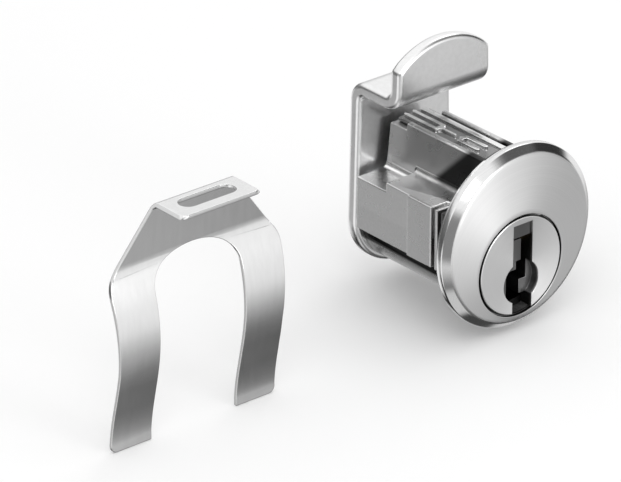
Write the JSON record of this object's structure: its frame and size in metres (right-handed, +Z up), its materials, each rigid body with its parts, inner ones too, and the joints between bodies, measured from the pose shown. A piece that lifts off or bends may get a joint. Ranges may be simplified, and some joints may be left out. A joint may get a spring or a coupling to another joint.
{
  "type": "mailbox lock",
  "caption": "Small round-faced pin-tumbler cam lock for a mailbox door, with a hooked cam, side lugs and a slide-on horseshoe spring clip.",
  "frame": {"origin": "on the plug's axis, in the plane where the door sits against the back of the flange", "axes": "+Y along the plug's axis from the face into the box, +Z up to the pin tower, +X to the right seen from the front"},
  "size_m": [0.068, 0.0257, 0.034],
  "materials": {
    "satin_face": "satin, radially brushed, polished bevel",
    "plug_face": "satin, radially brushed",
    "cast_body": "plated zinc die casting",
    "cam_steel": "satin plated stamping",
    "zinc_steel": "zinc plated",
    "spring_steel": "bright rolled spring steel",
    "pin_brass": "turned"
  },
  "bodies": {
    "housing": {"face_cap": "satin_face", "lock_housing": "cast_body", "spring_cover": "cast_body", "pin_spring_1": "spring_steel", "pin_spring_2": "spring_steel", "pin_spring_3": "spring_steel", "pin_spring_4": "spring_steel", "pin_spring_5": "spring_steel", "mounting_clip": "spring_steel"},
    "plug_group": {"plug": "plug_face", "stop_washer": "zinc_steel", "cam": "cam_steel", "lock_washer": "zinc_steel", "cam_screw": "zinc_steel"},
    "key_pin_1_body": {"key_pin_1": "pin_brass"},
    "key_pin_2_body": {"key_pin_2": "pin_brass"},
    "key_pin_3_body": {"key_pin_3": "pin_brass"},
    "key_pin_4_body": {"key_pin_4": "pin_brass"},
    "key_pin_5_body": {"key_pin_5": "pin_brass"},
    "driver_pin_1_body": {"driver_pin_1": "pin_brass"},
    "driver_pin_2_body": {"driver_pin_2": "pin_brass"},
    "driver_pin_3_body": {"driver_pin_3": "pin_brass"},
    "driver_pin_4_body": {"driver_pin_4": "pin_brass"},
    "driver_pin_5_body": {"driver_pin_5": "pin_brass"}
  },
  "joints": [
    {"name": "plug_turn", "type": "hinge", "parent": "housing", "child": "plug_group", "pos_m": [0, 0, 0], "axis": [0, 1, 0], "range_deg": [0, 90]},
    {"name": "key_pin_1_lift", "type": "slide", "parent": "plug_group", "child": "key_pin_1_body", "axis": [0, 0, 1], "range_m": [0, 0.00185]},
    {"name": "key_pin_2_lift", "type": "slide", "parent": "plug_group", "child": "key_pin_2_body", "axis": [0, 0, 1], "range_m": [0, 0.00105]},
    {"name": "key_pin_3_lift", "type": "slide", "parent": "plug_group", "child": "key_pin_3_body", "axis": [0, 0, 1], "range_m": [0, 0.00225]},
    {"name": "key_pin_4_lift", "type": "slide", "parent": "plug_group", "child": "key_pin_4_body", "axis": [0, 0, 1], "range_m": [0, 0.00065]},
    {"name": "key_pin_5_lift", "type": "slide", "parent": "plug_group", "child": "key_pin_5_body", "axis": [0, 0, 1], "range_m": [0, 0.00145]},
    {"name": "driver_pin_1_lift", "type": "slide", "parent": "housing", "child": "driver_pin_1_body", "axis": [0, 0, 1], "range_m": [0, 0.002], "stiffness_N_per_m": 80, "springref_m": -0.003, "deforming": ["pin_spring_1"]},
    {"name": "driver_pin_2_lift", "type": "slide", "parent": "housing", "child": "driver_pin_2_body", "axis": [0, 0, 1], "range_m": [0, 0.002], "stiffness_N_per_m": 80, "springref_m": -0.003, "deforming": ["pin_spring_2"]},
    {"name": "driver_pin_3_lift", "type": "slide", "parent": "housing", "child": "driver_pin_3_body", "axis": [0, 0, 1], "range_m": [0, 0.002], "stiffness_N_per_m": 80, "springref_m": -0.003, "deforming": ["pin_spring_3"]},
    {"name": "driver_pin_4_lift", "type": "slide", "parent": "housing", "child": "driver_pin_4_body", "axis": [0, 0, 1], "range_m": [0, 0.002], "stiffness_N_per_m": 80, "springref_m": -0.003, "deforming": ["pin_spring_4"]},
    {"name": "driver_pin_5_lift", "type": "slide", "parent": "housing", "child": "driver_pin_5_body", "axis": [0, 0, 1], "range_m": [0, 0.002], "stiffness_N_per_m": 80, "springref_m": -0.003, "deforming": ["pin_spring_5"]}
  ]
}
